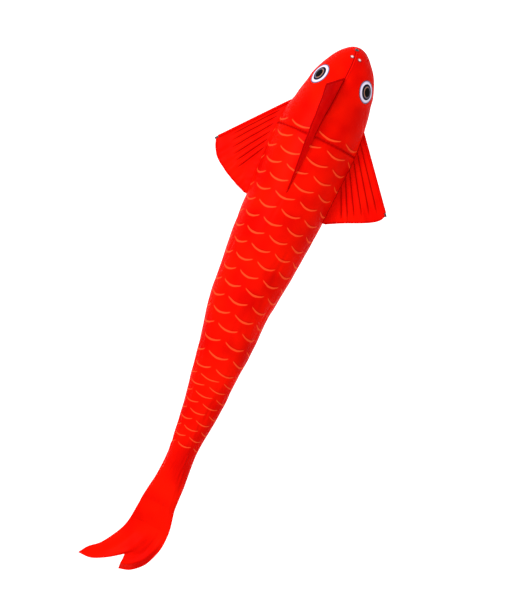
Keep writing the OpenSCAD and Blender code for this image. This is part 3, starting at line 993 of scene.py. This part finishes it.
def make_fin(side):
    tag = "right" if side > 0 else "left"
    rows, cols = 190, 96
    w, q, p = fin_lines(side, rows, cols)
    h, near = fin_relief(side, w, q, p)
    pts = fin_place(side, p[..., 0], p[..., 1], h)
    maps = {"cloth": p, "pleats": pair(near, q[None])}
    obj = mesh(f"fin_{tag}_sheet", pts, grid_faces(rows, cols, flip=side < 0), maps,
               FIN_RIGHT_CLOTH if side > 0 else FIN_LEFT_CLOTH, FIN_THICK, 0)

    def bends(o, *parts):
        bending(o, ("head_section", tag + "_fin"), (0, side * (FIN_Y - 0.006), 0),
                (0, side * (FIN_Y + 0.0015), 0), "fin_cloth", *parts)

    bends(obj, "fin_" + tag)
    at = np.linspace(SLEEVE_FROM, SLEEVE_TO, 110)    # the rod's sleeve, from under the root seam
    line = fin_rod_line(side, at)
    line[:, 0] -= 0.0006
    wob = 1 + 0.025 * np.sin(900 * at + 2 * side) + 0.02 * np.sin(1430 * at)
    bends(sweep(f"fin_{tag}_sleeve", line, fin_up(side), SLEEVE_R * 1.12 * wob, SLEEVE_R * wob,
                FIN_HEM, sides=20, power=0.95))
    hem, keep = pts[:, -1], slice(3, rows - 2)       # hem along the trailing edge
    up, inward = edge_ways(hem, pts[:, -3] - hem, 2)
    bends(sweep(f"fin_{tag}_hem", *stepped(hem + inward * 0.0022, up, 0.0025, keep), 0.0026,
                HEM_THICK, FIN_HEM, sides=14, power=0.6))
    seams = [stepped(hem + inward * 0.0040 + up * 0.00075, up, 0.002, keep)]
    for wk in PLEATS[side]:                          # two lines of stitches on each pleat
        for sign in (-1, 1):
            seams.append(pleat_thread(side, w, p, h, wk, sign))
    bends(stitches(f"fin_{tag}_stitches", seams, RED_THREAD, size=0.00036))
    back = FIN_EDGE[side][-1][0]                     # the root seam, sewn to the tube
    c = np.linspace(FIN_FRONT + 0.008, back - 0.004, 150)
    seams = [on_tube(c, side * math.pi / 2 + around * 0.0030 / radius(c), 0.0002)
             for around in (-1, 1)]
    on_head(stitches(f"fin_{tag}_root_stitches", seams, THREAD, size=0.0004), "fin_cloth")
    c = np.linspace(FIN_FRONT + 0.004, back + 0.002, 170)
    a = np.full_like(c, side * math.pi / 2)
    lift = 0.0002 + 0.0002 * np.sin(500 * c)
    on_head(sweep(f"fin_{tag}_root_seam", *on_tube(c, a, lift), 0.0020, 0.0011, SEAM_TAPE,
                  sides=12, power=0.8), "fin_cloth")


def pleat_thread(side, w, p, h, wk, sign):
    """A line of stitches beside a pleat's crease."""
    first, run, across = pleat(w, p, wk)
    q = np.linspace(*((0.06, 0.86) if side > 0 else (0.17, 0.66)), 60)
    at = first + run * q[:, None] + across * (sign * (pleat_half(q) * 1.08))[:, None]
    flat = p.reshape(-1, 2)
    lift = np.array([h.reshape(-1)[np.argmin(((flat - x) ** 2).sum(1))] for x in at])
    lift = np.convolve(np.pad(lift, 2, mode="edge"), np.ones(5) / 5, "valid")
    up = np.broadcast_to(fin_up(side), (len(q), 3))
    return fin_place(side, at[:, 0], at[:, 1], lift + 0.0003 + 0.00005), up


def fin_paint(name, start, stop):
    p = Paint(name, 0.44, 0.20, Specular_IOR_Level=GLOSS)
    where = p.weave(0.00006, 0.55)
    d, along, _ = p.uv("pleats")
    patch = p.noise(where, 12, 2, 0.5)
    tint = p.blend(patch.under(0.5, 0.22), (0.96, 0.0065, 0.0008), (0.87, 0.0024, 0.0004))
    # Each pleat's crease, where the cloth dips, is painted darker: painted shade in the crease.
    line = d.under(0.50, 0.26)
    end = along.under(stop, 0.12) * (along.under(start, 0.02) * -1 + 1)
    p.color(p.blend(line * end * 0.72, tint, (0.26, 0.0004, 0.0003)))
    return p.mat


FIN_RIGHT_CLOTH = fin_paint("fin_cloth_right", 0.02, 0.84)
FIN_LEFT_CLOTH = fin_paint("fin_cloth_left", 0.10, 0.74)
FIN_HEM = tape_paint("fin_hem_cloth", (0.78, 0.0026, 0.0006))
SEAM_TAPE = tape_paint("seam_tape", (0.50, 0.0006, 0.0004))
make_fin(1)
make_fin(-1)

# ---- Back fin ----
BACK_FRONT, BACK_PEAK = 0.094, 0.136
BACK_H = 0.085
LEAN = math.radians(16)


def back_place(x, z, lift):
    """A point of the back fin from its place in the upright plane. It leans to the left."""
    x, z, lift = spread(x, z, lift)
    beyond = soft_plus(z - FOLD_Z, 0.003)
    base = radius(x) * np.sin(seam_turn(x)) * (1 - ease(z, radius(x), FOLD_Z + 0.004))
    y = base - beyond * math.sin(LEAN) + lift
    return np.stack([x, y, z - beyond * (1 - math.cos(LEAN))], -1)


def back_lines(w, q):
    """Lines of the back fin, from its front edge to its rear, each from the seam to the top."""
    x = mix(BACK_FRONT, BACK_REAR, w)
    base = pair(x, radius(x) - 0.0010)
    peak = np.array([BACK_PEAK, float(radius(BACK_PEAK)) + BACK_H])
    rear = np.array([BACK_REAR, float(radius(BACK_REAR)) + 0.0008])
    top = mix(peak, rear, w[:, None] ** 1.1)
    return mix(base[:, None], top[:, None], q[None, :, None])


def make_back_fin():
    rows, cols = 200, 60
    w, q = np.linspace(0, 1, rows), np.linspace(0, 1, cols)
    p = back_lines(w, q)
    x, z = p[..., 0], p[..., 1]
    w2, q2 = np.broadcast_arrays(w[:, None], q[None])
    up = z - radius(x)
    size = 1 - ease(w2, 0.55, 1.0)
    lift = 0.0020 * np.sin(2.1 * math.pi * w2 + 0.4) * ease(up, 0.004, 0.06) * size
    lift += 0.0004 * np.sin(37 * w2 + 2.5 * q2) * ease(up, 0.002, 0.03) * size
    lift += 0.0003 * np.sin(260 * x) * np.exp(-np.maximum(up, 0) / 0.008) * ease(up, 0, 0.003)
    pts = back_place(x, z, lift)
    obj = mesh("back_fin_sheet", pts, grid_faces(rows, cols), {"cloth": p}, BACK_CLOTH, FIN_THICK, 0)

    def folds(o, *parts):
        bending(o, ("head_section", "back_fin"), (0, 0, FOLD_Z - 0.004), (0, 0, FOLD_Z + 0.010),
                "dorsal_cloth", *parts)

    folds(obj, "dorsal_fin")
    seams = []
    for name, line, inward, keep in (
            ("back_fin_hem", pts[:, -1], pts[:, -3] - pts[:, -1], slice(1, rows - 8)),
            ("back_fin_front_hem", pts[0], pts[3] - pts[0], slice(2, cols - 1))):
        up, inward = edge_ways(line, inward, 1)
        path = stepped(line + inward * BACK_HEM_W * 0.85, up, 0.0025, keep)
        folds(sweep(name, *path, BACK_HEM_W, HEM_THICK, BACK_HEM, sides=14, power=0.6))
        for face in (1, -1):                         # stitches show on both faces
            at = line + inward * BACK_HEM_W * 1.5 + up * face * 0.0008
            seams.append(stepped(at, up * face, 0.002, keep))
    folds(stitches("back_fin_stitches", seams, RED_THREAD))


BACK_HEM = tape_paint("back_hem_cloth", (0.66, 0.0004, 0.0010))
BACK_HEM_W = 0.0030
make_back_fin()

# ---- Seam strip along the top of the head, bindings, patches and stitches ----
EYELET = -HOME                     # the row frame's origin


def make_strip():
    """The strip's cells are laid out from the eyelet, and make way for its hole."""
    fine = np.linspace(0, 1, 4000) ** 2 * GILL
    run = np.concatenate([[0], np.cumsum(np.hypot(np.diff(fine), np.diff(radius(fine))))])
    at_eyelet = float(np.interp(EYELET[0], fine, run))
    start = float(np.interp(0.0009, fine, run))
    step = 0.001
    ahead = int((at_eyelet - start) / step)
    behind = int((run[-1] - at_eyelet) / step)
    cells = np.arange(-ahead, behind + 1) * step
    cells[0], cells[-1] = start - at_eyelet, run[-1] - at_eyelet - 0.0004
    half = STRIP_HALF
    y = np.linspace(-half, half, 25)
    c, y = np.meshgrid(cells, y, indexing="ij")
    r = np.hypot(c, y)
    hole = 0.0033                                    # radius, in the cloth
    out = np.where((r > 1e-9) & (r < half), (hole + (half - hole) * r / half)
                   / np.maximum(r, 1e-9), 1.0)
    c2, y2 = c * out, y * out
    s = np.interp(c2 + at_eyelet, run, fine)
    rr = radius(s)
    across = y2 * np.minimum(1, 0.86 * rr / half)
    a = seam_turn(s) + np.arcsin(np.clip(across / rr, -0.99, 0.99))
    fall = np.abs(y2) / half
    rise = 0.0007 * (1 - ease(fall, 0.86, 1.0)) + 0.00005
    groove = 0.0011 * bump_at(y2, 0, 0.0008) * ease(c, 0.0055, 0.0075)
    ripple = 0.00022 * np.sin(430 * s + 1.7 * np.sign(y2)) * bump_at(np.abs(y2), 0.003, 0.0018)
    p = tube(s, a, rise - groove + ripple)
    rows, cols = s.shape
    faces = grid_faces(rows, cols)
    mid = ahead * cols + cols // 2                   # the point in the middle of the hole
    faces = [f for f in faces if mid not in f]
    keep = np.ones(rows * cols, bool)
    keep[mid] = False
    index = np.cumsum(keep) - 1
    faces = [[int(index[i]) for i in f] for f in faces]
    maps = {"cloth": pair(s, y2).reshape(-1, 2)[keep], "strip": pair(y2, c).reshape(-1, 2)[keep]}
    obj = mesh("seam_strip_cloth", p.reshape(-1, 3)[keep], faces, maps, STRIP, 0.0007)
    on_head(obj, "binding", "seam_strip")
    tube(s, a, cloth=False)
    s = np.linspace(0.014, GILL - 0.002, 300)
    on_head(stitches("seam_strip_stitches", beside_top(s, 0.0046, 0.00085), RED_THREAD), "binding")


def beside_top(s, aside, lift):
    """Two lines along the top seam, one on each side of it."""
    return [on_tube(s, seam_turn(s) + np.arcsin(y / radius(s)), lift) for y in (-aside, aside)]


def strip_paint():
    p = Paint("seam_strip_cloth", 0.45, 0.05, Specular_IOR_Level=GLOSS)
    p.weave(0.00006, 0.5)
    y, c, _ = p.uv("strip")
    # The middle groove, from 6 mm behind the eyelet on, is painted dark: partly the seam's dark
    # thread, partly painted shade in the groove.
    dark = y.abs().under(0.0010, 0.0006) * (c.under(0.006, 0.001) * -1 + 1)
    p.color(p.blend(dark * 0.85, (0.86, 0.0028, 0.0006), (0.22, 0.0008, 0.0006)))
    return p.mat


STRIP = strip_paint()
make_strip()


def make_mouth_binding():
    """Tape round the hoop at the mouth."""
    d = np.array([math.cos(MOUTH), 0, -math.sin(MOUTH)])
    n = np.array([math.sin(MOUTH), 0, math.cos(MOUTH)])
    chord = 2 * HEAD_L * d[0] / (d[0] ** 2 + (HEAD_L * d[2] / HEAD_R) ** 2)
    centre = d * chord / 2
    wide = HEAD_R * math.sqrt(1 - ((HEAD_L - centre[0]) / HEAD_L) ** 2
                              - (centre[2] / HEAD_R) ** 2)
    long = chord / 2
    g = ring(260)
    grow = long / wide
    a, b = (wide - CASING_R) * grow, wide - CASING_R
    path = centre + np.outer(np.cos(g) * a, d) + np.outer(np.sin(g) * b, [0, 1, 0])
    fat = CASING_R * (1 + (grow - 1) * np.cos(g) ** 2) - 0.0004
    on_head(sweep("mouth_binding", path, n, fat + 0.0003 * pucker(g), 0.0042 + 0.0002 * pucker(g),
                  TAPE, sides=28, power=0.9, closed=True), "binding", "mouth_casing")
    g = np.linspace(0, 2 * math.pi, 320)
    rows = [on_tube(np.maximum(mouth_start(lambda s: g, off), 0.00004), g, 0.0001)
            for off in (0.0062, 0.0092)]
    on_head(stitches("mouth_stitches", rows, THREAD), "binding")


make_mouth_binding()


def make_gill_seam():
    """The casing inside the tube, and the seam that shows on it with its stitches."""
    r = float(radius(GILL)) - 0.002 - CASING_R - 0.0003
    g = ring(300)
    path = np.stack([np.full_like(g, GILL), r * np.sin(g), r * np.cos(g)], -1)
    on_head(sweep("gill_binding", path, (1, 0, 0), 0.0043 + 0.0003 * pucker(g),
                  0.0042 + 0.0004 * pucker(g), TAPE, sides=24, power=0.9, closed=True),
            "binding", "gill_casing")
    a = np.linspace(-math.pi, math.pi, 700)
    rows = [on_tube(np.full_like(a, GILL + off), a, 0.0002) for off in (-0.0032, 0.0032)]
    on_head(stitches("gill_stitches", rows, THREAD, size=0.0004), "binding")
    line, up = on_tube(np.full_like(a, GILL), a, 0.0003)
    on_head(sweep("gill_seam", line[:-1], up[:-1], 0.0017, 0.0009, SEAM_TAPE,
                  sides=12, power=0.8, closed=True), "binding")


make_gill_seam()


def on_dome(s, a, pa, pb):
    """Points of the tube under a flat patch that touches it at (s, a)."""
    c = tube(s, a, cloth=False)
    n = tube_up(np.array([s]), np.array([a]))[0]
    t2 = np.array([0, math.cos(a), -math.sin(a)])
    t1 = np.cross(t2, n)
    t1 *= np.sign(t1[0])
    t2 = np.cross(n, t1)
    p = c + pa[..., None] * t1 + pb[..., None] * t2

    def outside(m):
        x, y, z = np.moveaxis(p - n * m[..., None], -1, 0)
        return ((HEAD_L - x) / HEAD_L) ** 2 + (y ** 2 + z ** 2) / HEAD_R ** 2 > 1

    low, _ = halve(np.full(pa.shape, -0.004), np.full(pa.shape, 0.05), 40, outside)
    x, y, z = np.moveaxis(p - n * low[..., None], -1, 0)
    return x, np.arctan2(y, z)


def patch(tag, s, a, size, material, lift=0.0006, long=1.0, rings=26, spokes=96):
    """A printed patch on the head. Returns the line of its edge and the directions up from it."""
    r = np.linspace(0, 1, rings)[1:, None] ** 0.9 * size
    g = ring(spokes)[None]
    pa, pb = r * np.cos(g) * long, r * np.sin(g)
    ps, pt = on_dome(s, a, pa, pb)
    edge = ease(r / size, 0.93, 1.0)
    top = tube(ps, pt, lift * (1 - 0.55 * edge) + 0.00005 * np.sin(37 * g) * ease(r / size, 0.7, 0.9))
    cs, ct = on_dome(s, a, np.zeros(1), np.zeros(1))
    pts = np.vstack([tube(cs, ct, lift), top.reshape(-1, 3)])
    faces = [[0, 1 + k, 1 + (k + 1) % spokes] for k in range(spokes)]
    faces += [[v + 1 for v in f] for f in grid_faces(rings - 1, spokes, closed=True)]
    flat = np.vstack([[0, 0], pair(pa, pb).reshape(-1, 2)])
    obj = mesh(tag + "_patch", pts, faces, {"patch": flat, "cloth": flat}, material, SHELL)
    on_head(obj, tag.split("_")[0] + "_print", tag)
    g = np.linspace(0, 2 * math.pi, 120)
    return on_tube(*on_dome(s, a, np.cos(g) * size * long, np.sin(g) * size), lift * 0.45)


def zigzag(tag, edge, wide, pitch, size):
    """An overlocked edge: thread that runs to and fro across it."""
    path, up = stepped(*edge, pitch)
    _, across, high = frames(path, up)
    swing = np.where(np.arange(len(path)) % 2 == 0, 1.0, -1.0)[:, None] * wide
    path, up = stepped(path + across * swing + high * size * 0.6, up, pitch * 0.8)
    on_head(sweep(tag + "_edge", path, up, size, size, EDGE_THREAD, sides=6, power=1.0),
            tag.split("_")[0] + "_print")


def middle_of(part):
    """Distance along and angle round at which the CAD has the middle of a patch."""
    low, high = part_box(part)
    x, y, z = (np.array(low) + np.array(high)) / 2 - HOME
    return x, math.atan2(y, z)


for side, slip in (("right", -0.004), ("left", 0.004)):
    s, a = middle_of("eye_" + side)
    s += slip                                          # the printed cloth sits a little askew
    edge = patch("eye_" + side, s, a, EYE_R, EYE[side], long=EYE_LONG)
    zigzag("eye_" + side, edge, 0.0009, 0.0011, 0.00030)
    s, a = middle_of("nostril_" + side)
    edge = patch("nostril_" + side, s, a, NOSTRIL_R, NOSTRIL, lift=0.0020, rings=10, spokes=48)
    zigzag("nostril_" + side, edge, 0.0005, 0.0008, 0.00024)

s = np.linspace(BACK_FRONT + 0.004, BACK_REAR - 0.004, 260)
lines = beside_top(s, 0.0024, 0.0010 * (s < GILL) + 0.0002)
on_head(stitches("back_fin_seam_stitches", lines, THREAD), "dorsal_cloth")

# ---- Hard parts keep their CAD shape ----
HARD = {"tow_eyelet": ENAMEL, "mouth_hoop": FIBRE, "gill_hoop": FIBRE,
        "mouth_ferrule": TUBE_METAL, "gill_ferrule": TUBE_METAL}
for tag in ("left", "right"):
    HARD[f"fin_rod_{tag}"] = FIBRE
    HARD[f"fin_tip_cap_{tag}"] = VINYL
    HARD[f"fin_root_cap_{tag}"] = VINYL
for name, material in HARD.items():
    materials = frame["nodes"][name].data.materials
    materials.clear()
    materials.append(material)

# ---- Floor, light and camera ----
LOW, HIGH = Vector(START_BOUNDS[0]), Vector(START_BOUNDS[1])
MIDDLE = (LOW + HIGH) / 2


def floor():
    """Far below, and a little bright, so that no shadow shows and the ground is white."""
    bpy.ops.mesh.primitive_plane_add(size=40, location=(MIDDLE.x, MIDDLE.y, LOW.z - 2.2))
    o = bpy.context.object
    o.name = "floor"
    m = bpy.data.materials.new("floor")
    m.use_nodes = True
    for key, v in (("Base Color", (0.93, 0.93, 0.93)), ("Roughness", 0.9),
                   ("Emission Color", (1, 1, 1)), ("Emission Strength", 0.45)):
        feed(m.node_tree, m.node_tree.nodes["Principled BSDF"].inputs[key], v)
    o.data.materials.append(m)


def lamp(name, place, power, size):
    data = bpy.data.lights.new(name, "AREA")
    data.shape, data.size, data.energy = "DISK", size, power
    o = placed(name, data)
    o.location = MIDDLE + Vector(place)
    o.rotation_euler = (MIDDLE - o.location).to_track_quat("-Z", "Y").to_euler()


floor()
lamp("key", (-1.2, -2.2, 3.4), 145, 2.0)
lamp("fill", (1.2, 1.8, 3.4), 40, 3.6)
world = bpy.data.worlds.new("studio")
world.use_nodes = True
sky = world.node_tree.nodes["Background"].inputs
sky[0].default_value = (1, 1, 1, 1)
sky[1].default_value = 0.64
SCENE.world = world

ROLL, TILT = math.radians(25), math.radians(6.5)     # of the photo's view
right = Vector((-math.sin(ROLL), math.cos(ROLL), 0))
back = Vector((0, math.sin(TILT), math.cos(TILT)))
up = back.cross(right).normalized()
right = up.cross(back)
camera = bpy.data.cameras.new("camera")
camera.lens = 150
camera.sensor_width = 36
cam = placed("camera", camera)
aim = Vector(HOME) + Vector((0.716, 0.052, 0))       # the middle of the photo
rotation = np.array([list(right), list(up), list(back)]).T
cam.rotation_euler = Matrix(rotation.tolist()).to_euler()
cam.location = aim + back * 6.63
SCENE.camera = cam
SCENE.view_settings.view_transform = "Standard"
SCENE.view_settings.look = "None"
